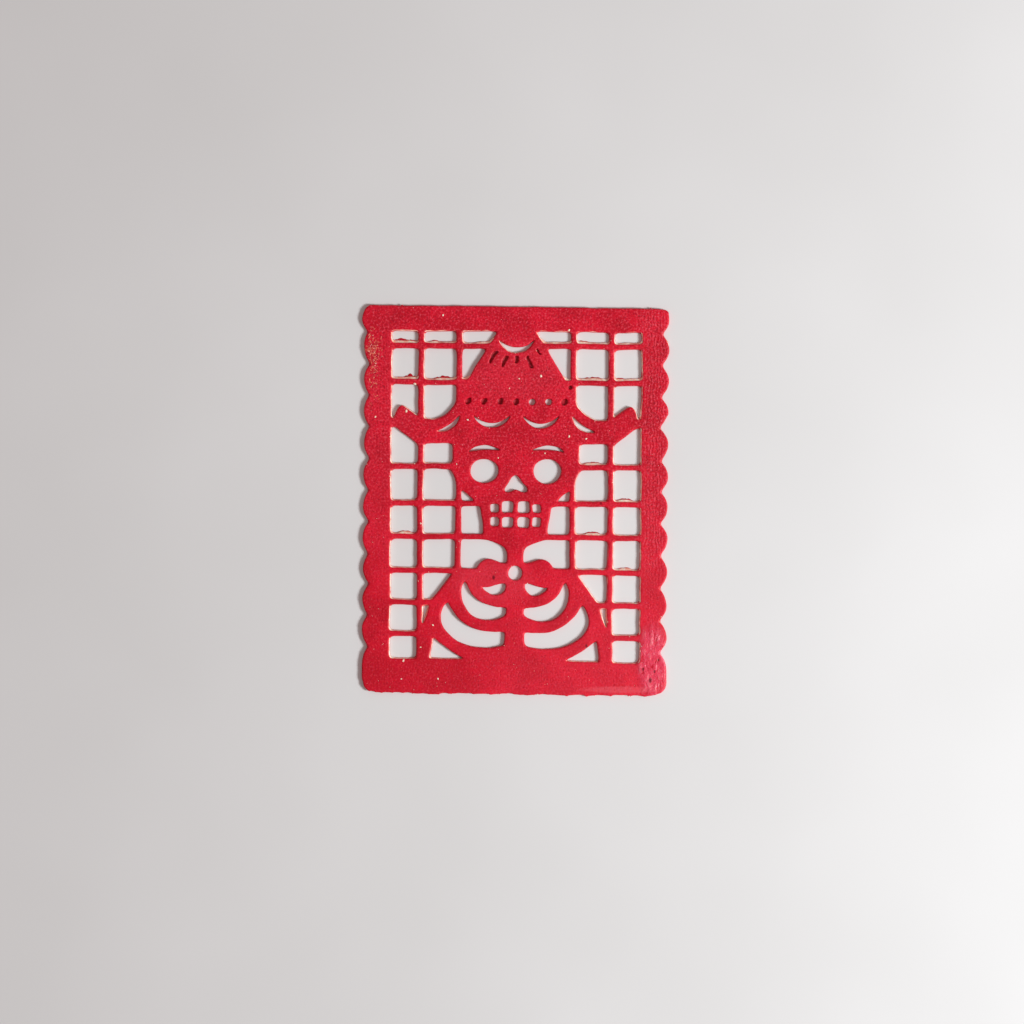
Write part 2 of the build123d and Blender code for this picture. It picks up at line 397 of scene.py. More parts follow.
def in_sliver(x, y):
    """True along the two narrow openings beside the ribs, whose walls sagged until they nearly met."""
    return abs(abs(x) - SLIVER_X) < SLIVER_HALF_WIDTH and SLIVER_FOOT < y < SLIVER_TOP


def film_width(x, y, faces_head):
    """How far the film at the back reaches into the opening here."""
    width = 0.02 + 0.04 * max(0.0, flow(x, y, 1.1, 17.3))
    if faces_head:
        share, widest = film_share(x, y)
        width = max(width, widest * share)
    return width


def torn(x, y):
    """The share of the film's width that is left here after the sheet was peeled."""
    return min(1.0, max(0.12, 0.62 + 0.75 * flow(x, y, 0.75, 31.0) + 0.5 * flow(x, y, 0.4, 12.0)))


class MeshParts:
    """Vertices and faces of a mesh as it is put together, in millimetres, with marks for its finish."""

    def __init__(self):
        self.verts = []
        self.faces = []
        self.marks = {"pale": {}, "hollow": {}, "film": {}, "inland": {}}

    def ring(self, points, heights, **marks):
        first = len(self.verts)
        self.verts.extend((x, y, z) for (x, y), z in zip(points, heights))
        for name, values in marks.items():
            for i, value in enumerate(np.broadcast_to(values, len(points))):
                self.marks[name][first + i] = float(value)
        return np.arange(first, first + len(points))

    def band(self, upper, lower):
        """Faces between two rings; the outline's material is on its left."""
        for i in range(len(upper)):
            j = (i + 1) % len(upper)
            self.faces.append((upper[i], lower[i], lower[j], upper[j]))

    def cap(self, ring, point, **marks):
        centre = int(self.ring([point[:2]], [point[2]], **marks)[0])
        for i in range(len(ring)):
            self.faces.append((ring[i], centre, ring[(i + 1) % len(ring)]))

    def fill(self, rings, outlines, step, level, facing_up):
        """Triangles over the material between the rings, with points scattered about this far apart."""
        edge_points = np.vstack(outlines)
        numbers = np.concatenate(rings)
        links, start = [], 0
        for outline in outlines:
            count = len(outline)
            links += [(start + i, start + (i + 1) % count) for i in range(count)]
            start += count
        inner = scattered(outlines, step)
        marks = {"inland": np.clip(distance_to(edge_points, inner) / 1.2, 0, 1)} if facing_up else {}
        heights = [level(x, y) for x, y in inner]
        numbers = np.concatenate([numbers, self.ring(inner, heights, **marks)])
        every = np.vstack([edge_points, inner])
        coords, _, triangles, origins, _, _ = delaunay_2d_cdt(
            [Vector(p) for p in every], links, [], 0, 1e-6, True)
        flat = np.array([tuple(c) for c in coords])
        triangles = np.array(triangles)
        keep = on_material(flat[triangles].mean(axis=1), outlines)
        origin = np.array([o[0] for o in origins])
        for a, b, c in numbers[origin[triangles[keep]]]:
            self.faces.append((a, b, c) if facing_up else (a, c, b))

    def mesh(self, name):
        mesh = bpy.data.meshes.new(name)
        mesh.from_pydata([(x * MM, y * MM, z * MM) for x, y, z in self.verts], [],
                         [tuple(int(n) for n in face) for face in self.faces])
        mesh.shade_smooth()
        for mark, values in self.marks.items():
            if values:
                layer = mesh.attributes.new(mark, "FLOAT", "POINT")
                for i, value in values.items():
                    layer.data[i].value = value
        return mesh


def distance_to(edge_points, points):
    """How far each point is from the nearest edge point."""
    tree = kdtree.KDTree(len(edge_points))
    for i, (x, y) in enumerate(edge_points):
        tree.insert((x, y, 0), i)
    tree.balance()
    return np.array([tree.find((x, y, 0))[2] for x, y in points])


def scattered(outlines, step):
    """Points about this far apart all over the material, none too near an edge."""
    rng = np.random.default_rng(7)
    low, high = np.vstack(outlines).min(0), np.vstack(outlines).max(0)
    rows = np.arange(low[1], high[1], step * 0.866)
    columns = np.arange(low[0], high[0], step)
    x, y = np.meshgrid(columns, rows)
    x = x + (np.arange(len(rows)) % 2)[:, None] * step / 2
    points = np.stack([x.ravel(), y.ravel()], axis=1) + rng.uniform(-0.16, 0.16, (x.size, 2)) * step
    points = points[distance_to(np.vstack(outlines), points) > 0.55 * step]
    return points[on_material(points, outlines)]


def rounder(outline, rounds):
    """The outline with its corners eased; a short one is eased less."""
    if len(outline) <= SHORT_OUTLINE:
        return outline
    return softened(outline, min(rounds, len(outline) // 14))


def slimness(outline):
    """1 for a wide opening, less for a slit or a crescent."""
    length = float(np.linalg.norm(np.roll(outline, -1, axis=0) - outline, axis=1).sum())
    return min(1.0, max(0.35, 2.0 * abs(signed_area(outline)) / length / 1.3))


def smudged(outline):
    """A blind dot or slit, drawn out of true along the way its lace ran back in."""
    middle = outline.mean(axis=0)
    offset = outline - middle
    wide = float(np.ptp(offset[:, 0]))
    tall = float(np.ptp(offset[:, 1]))
    if wide > 1.2 and tall < 1.6:
        along = np.outer(offset @ SMUDGE_ALONG, SMUDGE_ALONG)
        across = np.outer(offset @ SMUDGE_ACROSS, SMUDGE_ACROSS)
        offset = along * 1.12 + across * (0.80 if middle[0] < 0 else 0.95)
    elif tall > 1.6:
        wedge = 1.42 + 0.40 * math.sin(2.1 * middle[0]) * np.clip(offset[:, 1], -1.0, 1.0)
        offset[:, 0] *= wedge
        if middle[0] > 4.6:
            offset *= 0.5
            middle = middle + np.array([-0.6, 1.3])
    waver = np.array([(flow(x, y, 0.8, 41.0), flow(x, y, 0.8, 52.0)) for x, y in outline])
    return middle + offset + 0.16 * waver


def is_outer(outline):
    return abs(signed_area(outline)) > OUTER_AREA


def in_figure(outline):
    """True for the openings of the skull, the hat and the ribs."""
    x, y = outline.mean(axis=0)
    return abs(x) < FIGURE_HALF_WIDTH and y < FIGURE_TOP and not is_outer(outline)


def pale_and_painted_light(outline, away):
    """How pale the wall is at each point, and how pale the lip is. Both are patchy; walls facing the
    light are palest, as painted highlight, and the figure in the middle is hardly pale. The lip is pale
    as painted glow of light through thin lace, on walls facing away from the light and on the top walls
    of the openings nearest the head."""
    facing = away @ PAINTED_LIGHT_FROM
    strength = 0.30 if in_figure(outline) else 0.4 if is_outer(outline) else 1.0
    if len(outline) <= SHORT_OUTLINE:
        strength = 0.3
    wall = np.empty(len(outline))
    lip = np.zeros(len(outline))
    for i, (x, y) in enumerate(outline):
        patch = 0.5 + 1.1 * flow(x, y, 2.6, 12.1) + 0.5 * flow(x, y, 0.8, 6.3)
        inner_border = abs(abs(x) - INNER_BORDER_X) < 0.6 and abs(away[i][0]) > 0.9
        # Painted highlight and glow: walls facing the light and the inner edges of the side borders get the
        # pale colour; the patches are the walls' own
        wall[i] = (0.25 + 0.75 * inner_border) * patch + 0.80 * max(0.0, facing[i]) + 0.15 * inner_border
        away_from_light = max(0.0, -away[i][0] - 0.45) / 0.55
        # Painted glow: the thin lip of a wall facing away from the light is pale, most near the right border
        if away_from_light > 0 and not is_outer(outline):
            near_border = min(1.0, max(0.12, (x - 16.0) / 9.0))
            lip[i] = near_border * away_from_light * (0.85 + 0.9 * flow(x, y, 1.8, 33.0))
        # Painted glow along the top walls of the openings nearest the head
        if y > 35.5 and away[i][1] < -0.7 and not is_outer(outline):
            lip[i] = (0.9 if x < -8.0 else 0.35) + 0.9 * flow(x, y, 2.2, 37.0)
    return np.clip(wall * strength, 0.0, 1.0), np.clip(lip, 0.0, 1.0)


def moulded_sheet():
    """The whole sheet as one closed skin, grown from the outlines of the CAD sheet."""
    through = [hand_made(evenly(o, EDGE_STEP)) for o in cad_outlines(0.0)]
    through = [rounder(o, 1 if in_figure(o) or is_outer(o) else 2) for o in through]
    dimples = [smudged(hand_made(evenly(o, EDGE_STEP / 2))) for o in cad_outlines(0.25)]
    outlines = through + dimples
    away = [away_from_material(o) for o in outlines]
    lips = [eased(r, LIP) for r in room_beside(outlines, away, -1.0)]
    feet = [rounder(o, 4 if in_figure(o) else 8) for o in outlines]
    foot_away = [away_from_material(o) for o in feet]
    room = room_beside(feet, foot_away, 1.0)

    parts = MeshParts()
    face_rings, face_lines, back_rings, back_lines = [], [], [], []
    for k, outline in enumerate(outlines):
        is_dimple = k >= len(through)
        section = DIMPLE_SECTION if is_dimple else WALL_SECTION
        levels = np.array([face_level(x, y) for x, y in outline])
        faces_head = foot_away[k][:, 1] > 0.3
        sill = np.array([sill_share(x, y) for x, y in outline]) * faces_head
        steep = 0.5 if in_figure(outline) or is_outer(outline) else 1.0
        lean = DRAFT * steep + LEAN * (foot_away[k] @ SAG) * steep + THIN_SILL * np.clip(sill, 0.0, 1.0)
        middle = outline.mean(axis=0)
        if in_sliver(*middle):
            lean = lean + SLIVER_LEAN
        draft = eased(room[k], lean * slimness(outline)) * (1.0 if len(outline) > SHORT_OUTLINE else 0.4)
        foot = moved_over(feet[k], foot_away[k] * draft[:, None])
        wall_pale_and_highlight, lip_glow = pale_and_painted_light(outline, away[k])
        # Sills and the two slivers are pale as painted glow of light through thin lace
        wall_pale_and_highlight = np.maximum(wall_pale_and_highlight, SLIVER_GLOW if in_sliver(*middle) else sill)
        rings = []
        for across, share, *more in section:
            if across < 0:
                line = outline + away[k] * (across * lips[k])[:, None]
            else:
                line = outline + (foot - outline) * across
            if is_dimple:
                marks = {"hollow": more[0]}
            else:
                sill_height, wall_mark, lip_mark = more
                share = share + (sill_height - share) * sill
                marks = {"pale": np.maximum(wall_mark * wall_pale_and_highlight, lip_mark * lip_glow)}
            rings.append(parts.ring(line, share * levels, **marks))
            if len(rings) == 1:
                face_rings.append(rings[0])
                face_lines.append(line)
        if is_dimple:
            middle = line.mean(axis=0)
            for share, height in DIMPLE_FLOOR:
                line_in = middle + (line - middle) * share
                rings.append(parts.ring(line_in, np.full(len(line), height), hollow=1.0))
            parts.cap(rings[-1], (*middle, DIMPLE_DEEPEST), hollow=1.0)
        else:
            film = np.array([film_width(x, y, up) for (x, y), up in zip(outline, faces_head)])
            film = eased(np.maximum(0.7 * (room[k] - draft), 0.0) / 0.78, film)
            film *= [torn(x, y) for x, y in outline]
            film_edge = moved_over(foot, foot_away[k] * film[:, None])
            for reach, height in FILM_SECTION:
                line = foot + (film_edge - foot) * reach
                rings.append(parts.ring(line, np.full(len(line), height), film=min(1.0, 2 * reach)))
            back_rings.append(rings[-1])
            back_lines.append(line)
        for upper, lower in zip(rings, rings[1:]):
            parts.band(upper, lower)
    parts.fill(face_rings, face_lines, FACE_STEP, face_level, True)
    parts.fill(back_rings, back_lines, BACK_STEP, lambda x, y: 0.0, False)
    return parts.mesh("moulded_lace_sheet")


def new_piece(name, mesh):
    piece = bpy.data.objects.new(name, mesh)
    bpy.context.scene.collection.objects.link(piece)
    return piece


# ---------------------------------------------------------------- finishes

DEEP_RED = (0.53, 0.001, 0.016, 1)
BRIGHT_RED = (0.71, 0.004, 0.028, 1)
PINK_RED = (0.77, 0.032, 0.066, 1)
# Darker red of the grain, also painted shade in pores and grooves
DARK_RED_AND_SHADE = (0.30, 0.0, 0.010, 1)
# Lighter red of the grain, also painted glints and painted highlight on ridges
LIGHT_RED_AND_GLINT = (0.84, 0.110, 0.165, 1)
SMEAR_PINK = (0.78, 0.070, 0.135, 1)
# Painted highlight on the wrinkles of the smeared patch
STREAK_HIGHLIGHT_PINK = (0.90, 0.26, 0.32, 1)
SILL_PINK = (0.88, 0.20, 0.25, 1)
# Painted shade of small pits
PIT_SHADE_RED = (0.16, 0.0, 0.008, 1)
# Painted shade in the hollows of the blind dots and slits
HOLLOW_SHADE_RED = (0.20, 0.002, 0.008, 1)
FILM_RED = (0.52, 0.008, 0.014, 1)
# Painted highlight and painted glow of pale walls, lips and sills
SALMON_EDGE_LIGHT = (0.95, 0.46, 0.36, 1)
CREAM_EDGE_LIGHT = (1.0, 0.82, 0.69, 1)


def put_node(tree, kind, inputs=None, **settings):
    """A new node in the tree. Each input is given a value, or linked to another node's output."""
    node = tree.nodes.new(kind)
    for key, value in settings.items():
        setattr(node, key, value)
    for key, value in (inputs or {}).items():
        if isinstance(value, bpy.types.NodeSocket):
            tree.links.new(value, node.inputs[key])
        else:
            node.inputs[key].default_value = value
    return node


class Nodes:
    """Short calls for building a material's nodes."""

    def __init__(self, name):
        self.material = bpy.data.materials.new(name)
        self.material.use_nodes = True
        self.tree = self.material.node_tree
        self.shader = self.tree.nodes["Principled BSDF"]

    def put(self, kind, inputs=None, **settings):
        return put_node(self.tree, kind, inputs, **settings)

    def math(self, operation, a, b):
        return self.put("ShaderNodeMath", {0: a, 1: b}, operation=operation).outputs[0]

    def times(self, *values):
        """All the values multiplied together."""
        product = values[0]
        for value in values[1:]:
            product = self.math("MULTIPLY", product, value)
        return product

    def vector(self, operation, inputs):
        return self.put("ShaderNodeVectorMath", inputs, operation=operation).outputs[0]

    def mark(self, name):
        """A mark that was laid on the mesh's points, from 0 to 1."""
        return self.put("ShaderNodeAttribute", attribute_name=name).outputs["Fac"]

    def range(self, value, low, high, to_low=0.0, to_high=1.0):
        node = self.put("ShaderNodeMapRange", {"Value": value, "From Min": low, "From Max": high,
                                               "To Min": to_low, "To Max": to_high})
        return node.outputs["Result"]

    def mix(self, share, a, b):
        return self.put("ShaderNodeMix", {0: share, 6: a, 7: b}, data_type="RGBA").outputs[2]

    def millimetres(self):
        """Object coordinates in millimetres."""
        place = self.put("ShaderNodeTexCoord").outputs["Object"]
        return self.vector("SCALE", {0: place, "Scale": 1 / MM})

    def stretched(self, place, scale):
        return self.vector("MULTIPLY", {0: place, 1: scale})

    def grain(self, place, size, detail=2.0, roughness=0.5):
        return self.put("ShaderNodeTexNoise", {"Vector": place, "Scale": 1.0 / size, "Detail": detail,
                                               "Roughness": roughness}).outputs["Fac"]

    def link(self, value, name):
        self.tree.links.new(value, self.shader.inputs[name])

    def soften(self, weight, radius, scale):
        """Lets light sink into the surface."""
        self.shader.inputs["Subsurface Weight"].default_value = weight
        self.shader.inputs["Subsurface Radius"].default_value = radius
        self.shader.inputs["Subsurface Scale"].default_value = scale


def region(n, place, centre, size, soft=1.0):
    """1 inside an oval area of the sheet, fading to 0 around it."""
    offset = n.vector("SUBTRACT", {0: place, 1: (*centre, 1.0)})
    scaled = n.vector("MULTIPLY", {0: offset, 1: (1 / size[0], 1 / size[1], 0)})
    reach = n.put("ShaderNodeVectorMath", {0: scaled}, operation="LENGTH").outputs["Value"]
    return n.range(reach, 1.0 + soft, 1.0)


# Where painted light makes the lace paler and painted shade makes it darker than the rest: middle, spread
# and how much.
PAINTED_LIGHT_PLACES = [
    ((-5.0, -17.5), (6.0, 3.5), 0.60), ((0.0, 28.0), (8.0, 4.5), 0.30), ((-28.0, 12.0), (4.0, 20.0), 0.16),
]
PAINTED_SHADE_PLACE = ((-22.0, -38.0), (11.0, 4.0), 0.60)

# The patch of burst bubbles, the smeared patch and the streak along the foot: middle and spread.
BLISTERED = ((-31.0, 31.2), (1.6, 4.2))
SMEARED = ((29.9, -34.6), (2.4, 6.2))
FOOT_STREAK = ((23.0, -40.7), (5.5, 0.5))

# Small pits on the face, whose shade is painted as dark spots: x, y and width.
PITS = [
    (27.9, -36.2, 0.42), (30.4, -36.7, 0.40), (29.5, -38.6, 0.62), (31.2, -34.2, 0.30),
    (18.5, -0.4, 0.36), (-4.6, -16.6, 0.55), (15.6, -31.3, 0.45),
]


def wandered(n, place):
    """The place drawn out of true by up to about a millimetre, so that no pattern runs straight."""
    drift = n.put("ShaderNodeTexNoise", {"Vector": place, "Scale": 0.45, "Detail": 1.0}).outputs["Color"]
    drift = n.vector("SUBTRACT", {0: drift, 1: (0.5, 0.5, 0.5)})
    drift = n.vector("SCALE", {0: drift, "Scale": 1.3})
    return n.vector("ADD", {0: place, 1: drift})


def pores_on(n, place, open_face):
    """Blurred pores about 0.6 mm apart, deepest away from the edges."""
    spread = n.stretched(place, (1 / 0.60, 1 / 0.60, 1))
    pore = n.put("ShaderNodeTexVoronoi", {"Vector": spread, "Scale": 1.0, "Randomness": 0.95},
                 voronoi_dimensions="2D").outputs
    chance = n.put("ShaderNodeSeparateColor", {0: pore["Color"]}).outputs[0]
    pores = n.times(n.range(pore["Distance"], 0.46, 0.06), n.range(chance, 0.25, 0.9))
    return n.times(pores, n.math("ADD", n.times(open_face, 0.85), 0.5))


def woven(n, place, right_border, open_face):
    """The print of a cloth, as dashes in columns: its grooves, bumped down and given painted shade, and its
    ridges, given painted highlight.
    """
    columns = {"Vector": place, "Scale": 0.46, "Distortion": 1.8, "Detail": 2.0, "Detail Scale": 1.4}
    wave = n.put("ShaderNodeTexWave", columns, wave_type="BANDS", bands_direction="X").outputs["Fac"]
    shaded_grooves = n.times(n.range(wave, 0.5, 1.0), n.range(right_border, 0.0, 1.0, 0.10, 0.62))
    dashes = n.range(n.grain(n.stretched(place, (0.5, 1.0, 1.0)), 0.42, 1.0), 0.40, 0.60)
    shaded_grooves = n.times(shaded_grooves, n.times(open_face, dashes))
    lit_ridges = n.times(n.times(right_border, dashes), n.range(wave, 0.45, 0.10, 0.0, 0.45))
    return shaded_grooves, lit_ridges


def red_lace():
    """Red sugar lace: a satin, finely grained skin with blurred pores. Painted shade darkens the pores,
    grooves, pits and hollows, painted glints lighten the grain, and painted highlight and glow make
    walls, lips and sills pale.
    """
    n = Nodes("red_sugar_lace")
    place = n.millimetres()
    axes = n.put("ShaderNodeSeparateXYZ", {0: place}).outputs
    broad = n.grain(place, 7.0, 2.0)
    medium = n.grain(place, 1.7, 3.0, 0.6)
    fine = n.grain(place, 0.46, 2.5, 0.62)
    wandering = wandered(n, place)
    open_face = n.range(n.mark("inland"), 0.25, 0.85)
    pores = pores_on(n, wandering, open_face)
    right_border = n.times(n.range(axes["X"], 25.5, 28.0), n.range(axes["Y"], -20.0, -10.0))
    shaded_grooves, lit_ridges = woven(n, wandering, right_border, open_face)

    # Broad changes of tone, some of them painted light and painted shade, then the grain, which is weaker
    # towards the foot.
    grainy = n.range(axes["Y"], -14.0, 12.0, 0.42, 1.0)
    towards_corner = n.math("SUBTRACT", axes["X"], axes["Y"])
    colour = n.mix(n.range(broad, 0.36, 0.62), DEEP_RED, BRIGHT_RED)
    colour = n.mix(n.range(towards_corner, 12.0, 66.0, 0.0, 0.50), colour, PINK_RED)
    # Painted light in a few places, then painted shade in one
    for centre, spread, amount in PAINTED_LIGHT_PLACES:
        colour = n.mix(n.times(region(n, place, centre, spread, 0.8), amount), colour, PINK_RED)
    centre, spread, amount = PAINTED_SHADE_PLACE
    colour = n.mix(n.times(region(n, place, centre, spread, 0.8), amount), colour, DEEP_RED)
    colour = n.mix(n.range(medium, 0.50, 0.80, 0.0, 0.50), colour, DEEP_RED)
    colour = n.mix(n.range(medium, 0.46, 0.25, 0.0, 0.35), colour, BRIGHT_RED)
    # Painted shade in the print's grooves and painted highlight on its ridges
    colour = n.mix(shaded_grooves, colour, DARK_RED_AND_SHADE)
    colour = n.mix(lit_ridges, colour, LIGHT_RED_AND_GLINT)
    # The grain's light and dark speckle follows its bump: partly its own tone, partly painted glints and
    # painted shade
    colour = n.mix(n.times(grainy, n.range(fine, 0.52, 0.72, 0.0, 0.62)), colour, LIGHT_RED_AND_GLINT)
    colour = n.mix(n.times(grainy, n.range(fine, 0.48, 0.30, 0.0, 0.62)), colour, DARK_RED_AND_SHADE)
    # Painted shade in the pores
    colour = n.mix(n.times(grainy, pores, 0.42), colour, DARK_RED_AND_SHADE)

    # Patches, with painted highlight and painted shade on the smear's wrinkles, and the painted shade of
    # pits.
    blistered = region(n, place, *BLISTERED, 0.6)
    smeared = region(n, place, *SMEARED, 0.5)
    foot_streak = region(n, place, *FOOT_STREAK, 0.8)
    swirl = n.grain(n.stretched(wandering, (1.0, 0.38, 1.0)), 1.1, 3.0, 0.65)
    # Painted highlight on the ridges of the smear's wrinkles and painted shade in their furrows, where the
    # swirl also bumps them
    streak_highlights = n.times(n.range(swirl, 0.52, 0.70), smeared)
    furrow_shade = n.times(n.range(swirl, 0.47, 0.36), smeared)
    colour = n.mix(n.times(smeared, 0.75), colour, SMEAR_PINK)
    colour = n.mix(n.times(streak_highlights, 0.65), colour, STREAK_HIGHLIGHT_PINK)
    colour = n.mix(n.times(furrow_shade, 0.8), colour, DEEP_RED)
    colour = n.mix(n.times(foot_streak, 0.22), colour, SILL_PINK)
    # Painted shade of small pits
    for x, y, width in PITS:
        pit_shade = region(n, place, (x, y), (0.28 * width, 0.48 * width), 1.6)
        colour = n.mix(n.times(pit_shade, 0.9), colour, PIT_SHADE_RED)

    # Painted shade in the hollows, the torn films, and pale walls, lips and sills, which are mostly painted
    # highlight and painted glow.
    # Painted shade in the hollows of the blind dots and slits
    colour = n.mix(n.times(n.mark("hollow"), 0.55), colour, HOLLOW_SHADE_RED)
    colour = n.mix(n.times(n.mark("film"), 0.7), colour, FILM_RED)
    # The pale colour: painted highlight on walls facing the light and painted glow on thin lips, sills and
    # slivers, over the walls' own pale patches
    pale_edge_light = n.mix(n.range(n.grain(place, 0.9, 1.0), 0.35, 0.65), SALMON_EDGE_LIGHT, CREAM_EDGE_LIGHT)
    colour = n.mix(n.range(n.mark("pale"), 0.25, 0.75), colour, pale_edge_light)
    n.link(colour, "Base Color")

    glossy = n.math("MAXIMUM", blistered, smeared)
    n.link(n.mix(glossy, n.range(medium, 0.3, 0.7, 0.38, 0.52), (0.24, 0.24, 0.24, 1)), "Roughness")

    height = n.math("SUBTRACT", fine, n.times(pores, 0.45))
    height = n.math("SUBTRACT", height, n.times(shaded_grooves, 0.6))
    height = n.math("ADD", height, n.times(swirl, smeared, 4.5))
    bump = n.put("ShaderNodeBump", {"Height": height, "Strength": 0.7, "Distance": 0.00011})
    n.link(bump.outputs["Normal"], "Normal")
    n.shader.inputs["IOR"].default_value = 1.45
    n.shader.inputs["Specular IOR Level"].default_value = 0.27
    n.soften(0.4, (1.0, 0.22, 0.16), 0.0005)
    return n.material


def wet_lace():
    """The wetter lace of the rims that burst bubbles left, in patches painted bright orange as glints."""
    n = Nodes("wet_red_lace_glints")
    place = n.millimetres()
    glint_patches = n.range(n.grain(place, 0.5), 0.44, 0.62)
    # Half the rims are painted bright orange as glints
    n.link(n.mix(glint_patches, (0.68, 0.012, 0.03, 1), (0.98, 0.23, 0.15, 1)), "Base Color")
    n.shader.inputs["Roughness"].default_value = 0.14
    n.soften(0.4, (1.0, 0.3, 0.2), 0.0003)
    return n.material


def cream_sugar():
    """Pale grains."""
    n = Nodes("cream_sugar_grain")
    place = n.millimetres()
    n.link(n.mix(n.grain(place, 0.25), (0.95, 0.62, 0.48, 1), (1.0, 0.86, 0.72, 1)), "Base Color")
    n.shader.inputs["Roughness"].default_value = 0.3
    n.soften(0.3, (1.0, 0.5, 0.4), 0.0003)
    return n.material


def pale_paper():
    """The plain pale floor, hardly uneven in tone."""
    n = Nodes("pale_floor")
    place = n.millimetres()
    clouds = n.range(n.grain(place, 60.0, 2.0), 0.3, 0.7)
    n.link(n.mix(clouds, (0.672, 0.686, 0.694, 1), (0.708, 0.724, 0.735, 1)), "Base Color")
    n.shader.inputs["Roughness"].default_value = 0.8
    return n.material


# ---------------------------------------------------------------- grains, crumbs and blisters

def lump_tree(name, is_rim=False):
    """A node tree that sets one small rough lump, or one rim of a burst bubble, on every point,
    turned at random and as wide as the point says."""
    tree = bpy.data.node_groups.new(name, "GeometryNodeTree")
    for socket, kind in (("Points", "Geometry"), ("Roughness", "Float"), ("Flatness", "Float"),
                         ("Stretch", "Float"), ("Seed", "Int"), ("Finish", "Material")):
        tree.interface.new_socket(socket, in_out="INPUT", socket_type="NodeSocket" + kind)
    tree.interface.new_socket("Lumps", in_out="OUTPUT", socket_type="NodeSocketGeometry")

    def put(kind, inputs=None, **settings):
        return put_node(tree, kind, inputs, **settings)

    def vector(operation, inputs):
        return put("ShaderNodeVectorMath", inputs, operation=operation).outputs[0]

    given = put("NodeGroupInput").outputs
    if is_rim:
        ring = put("GeometryNodeCurvePrimitiveCircle", {"Resolution": 18, "Radius": 0.5}).outputs["Curve"]
        wire = put("GeometryNodeCurvePrimitiveCircle", {"Resolution": 6, "Radius": 0.15}).outputs["Curve"]
        ball = put("GeometryNodeCurveToMesh", {"Curve": ring, "Profile Curve": wire}).outputs["Mesh"]
    else:
        ball = put("GeometryNodeMeshIcoSphere", {"Radius": 0.5, "Subdivisions": 2}).outputs["Mesh"]
    unevenness = {"Scale": 2.6, "Detail": 1.0, "W": given["Seed"]}
    bumps = put("ShaderNodeTexNoise", unevenness, noise_dimensions="4D").outputs
    if is_rim:
        push = vector("SUBTRACT", {0: bumps["Color"], 1: (0.5, 0.5, 0.5)})
        offset = vector("SCALE", {0: push, "Scale": given["Roughness"]})
    else:
        push = put("ShaderNodeMath", {0: bumps[0], 1: 0.5}, operation="SUBTRACT").outputs[0]
        push = put("ShaderNodeMath", {0: push, 1: given["Roughness"]}, operation="MULTIPLY").outputs[0]
        outward = put("GeometryNodeInputNormal").outputs["Normal"]
        offset = vector("SCALE", {0: outward, "Scale": push})
    lump = put("GeometryNodeSetPosition", {"Geometry": ball, "Offset": offset}).outputs[0]
    lump = put("GeometryNodeSetShadeSmooth", {"Geometry": lump}).outputs[0]

    any_turn = {"Min": (0, 0, 0), "Max": (0, 0, math.tau), "Seed": given["Seed"]}
    turn = put("FunctionNodeRandomValue", any_turn, data_type="FLOAT_VECTOR").outputs["Value"]
    width = put("GeometryNodeInputNamedAttribute", {"Name": "width"}, data_type="FLOAT").outputs["Attribute"]
    shape = put("ShaderNodeCombineXYZ", {"X": given["Stretch"], "Y": 1.0, "Z": given["Flatness"]}).outputs[0]
    scale = vector("SCALE", {0: shape, "Scale": width})
    on_points = {"Points": given["Points"], "Instance": lump, "Rotation": turn, "Scale": scale}
    placed = put("GeometryNodeInstanceOnPoints", on_points).outputs[0]
    real = put("GeometryNodeRealizeInstances", {"Geometry": placed}).outputs[0]
    finished = put("GeometryNodeSetMaterial", {"Geometry": real, "Material": given["Finish"]}).outputs[0]
    put("NodeGroupOutput", {"Lumps": finished})
    return tree


def lumps(name, tree, spots, finish, **settings):
    """A piece made of small lumps. Each spot is x, y, z and width, in millimetres."""
    mesh = bpy.data.meshes.new(name)
    mesh.from_pydata([(x * MM, y * MM, z * MM) for x, y, z, _ in spots], [], [])
    widths = mesh.attributes.new("width", "FLOAT", "POINT")
    for i, spot in enumerate(spots):
        widths.data[i].value = spot[3] * MM
    piece = new_piece(name, mesh)
    maker = piece.modifiers.new("lumps", "NODES")
    maker.node_group = tree
    settings["Finish"] = finish
    for socket in tree.interface.items_tree:
        if socket.name in settings:
            maker[socket.identifier] = settings[socket.name]
    ready = piece.evaluated_get(bpy.context.evaluated_depsgraph_get())
    finished = bpy.data.meshes.new_from_object(ready)
    piece.modifiers.remove(maker)
    piece.data = finished
    finished.name = name
    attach(piece, "root")


# Pale grains on the face: x, y and width.
GRAINS = [
    (-16.0, 40.1, 0.42), (5.3, 27.1, 0.60), (11.3, 37.1, 0.42), (-22.0, 25.2, 0.45), (-23.8, 19.3, 0.50),
    (-30.5, 18.0, 0.36), (-10.5, 17.5, 0.36), (11.5, 14.1, 0.42), (15.2, 13.6, 0.36), (6.3, 10.4, 0.3),
    (-3.8, 9.3, 0.26), (-12.8, 7.9, 0.26), (0.6, 26.5, 0.28), (-1.5, 24.4, 0.24), (-20.5, -5.0, 0.32),
    (-17.7, -27.0, 0.40), (-20.3, -31.8, 0.34), (-24.0, -34.8, 0.62), (-24.4, -38.7, 0.36),
    (-16.5, -38.6, 0.34),
]
DUST = 210              # how many finer grains are scattered over the sheet and its openings



def seated(x, y, width, sunk):
    """Height of the middle of a grain that has sunk this share of its width into the face."""
    return min(face_level(x, y) - sunk * width, THICKNESS + 0.02 - 0.32 * width)


